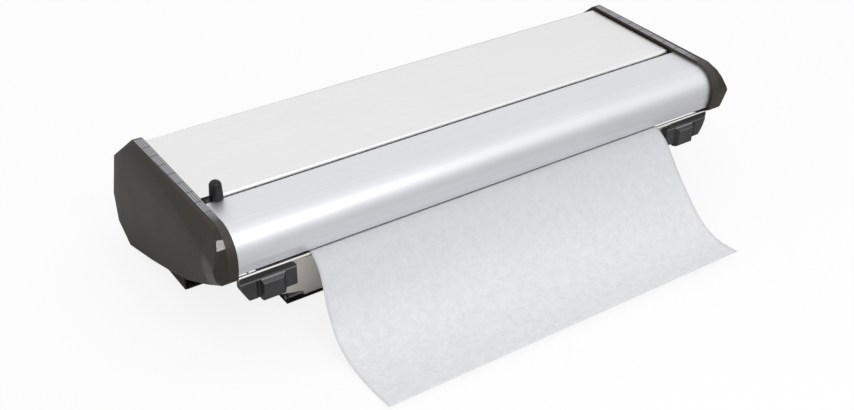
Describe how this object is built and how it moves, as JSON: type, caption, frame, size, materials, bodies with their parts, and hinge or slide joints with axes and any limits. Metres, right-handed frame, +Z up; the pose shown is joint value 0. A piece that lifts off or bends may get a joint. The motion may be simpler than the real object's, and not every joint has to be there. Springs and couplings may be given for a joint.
{
  "type": "kitchen wrap dispenser",
  "caption": "Counter dispenser for rolls of baking paper or film, with a hinged steel lid, a sliding cutter in a slot and a sprung front flap with grips.",
  "frame": {"origin": "centre of the whole object's box, at the height of the table under the feet", "axes": "+X along the width towards the right cap, +Y to the rear, +Z up; the paper leaves towards -Y"},
  "size_m": [0.5492, 0.3504, 0.1386],
  "materials": {
    "cap_plastic": "satin moulded plastic, warm dark grey",
    "profile_aluminium": "silver anodised, drawn along the width",
    "lid_steel": "satin stainless, brushed along the width",
    "flap_steel": "brushed stainless with a rolled lip",
    "chassis_steel": "plain stainless sheet",
    "chassis_coat": "dark brown powder coat",
    "grip_plastic": "fine ribbed moulded plastic",
    "knob_plastic": "soft satin plastic",
    "carriage_plastic": "moulded plastic",
    "blade_steel": "polished blade steel",
    "rail_steel": "ground round steel",
    "fastener_steel": "plated steel",
    "spring_steel": "drawn spring wire",
    "foot_rubber": "matt rubber",
    "plug_plastic": "moulded plastic",
    "cardboard": "wound grey-brown cardboard",
    "paper": "translucent baking paper"
  },
  "bodies": {
    "frame": {"left_end_cap": "cap_plastic", "right_end_cap": "cap_plastic", "left_side_frame": "chassis_coat", "right_side_frame": "chassis_coat", "front_profile": "profile_aluminium", "rear_panel": "chassis_steel", "base_tray": "chassis_coat", "rubber_feet": "foot_rubber", "lid_hinge_pins": "fastener_steel", "profile_screws": "fastener_steel", "cap_screws": "fastener_steel", "cutter_rail": "rail_steel", "flap_hinge_rod": "rail_steel", "flap_springs": "spring_steel", "left_roll_bracket": "chassis_steel", "right_roll_bracket": "chassis_steel", "bracket_rivets": "fastener_steel", "paper_web": "paper"},
    "lid": {"rear_lid": "lid_steel"},
    "flap": {"front_flap": "flap_steel", "left_grip": "grip_plastic", "right_grip": "grip_plastic", "grip_rivets": "fastener_steel"},
    "cutter": {"cutter_carriage": "carriage_plastic", "cutter_blade": "blade_steel", "blade_screw": "fastener_steel", "slider_knob": "knob_plastic"},
    "roll": {"roll_core": "cardboard", "paper_roll": "paper", "left_roll_plug": "plug_plastic", "right_roll_plug": "plug_plastic"}
  },
  "joints": [
    {"name": "lid_hinge", "type": "hinge", "parent": "frame", "child": "lid", "pos_m": [0, 0.11283, 0.116], "axis": [-1, 0, 0], "range_deg": [0, 100]},
    {"name": "flap_hinge", "type": "hinge", "parent": "frame", "child": "flap", "pos_m": [0, -0.00722, 0.00625], "axis": [1, 0, 0], "range_deg": [0, 30], "stiffness_Nm_per_rad": 0.35, "springref_deg": -34.38, "deforming": ["flap_springs", "paper_web"]},
    {"name": "cutter_slide", "type": "slide", "parent": "frame", "child": "cutter", "axis": [1, 0, 0], "range_m": [0, 0.487], "deforming": ["paper_web"]},
    {"name": "roll_spin", "type": "hinge", "parent": "frame", "child": "roll", "pos_m": [0, 0.07383, 0.062], "axis": [1, 0, 0], "continuous": true}
  ]
}
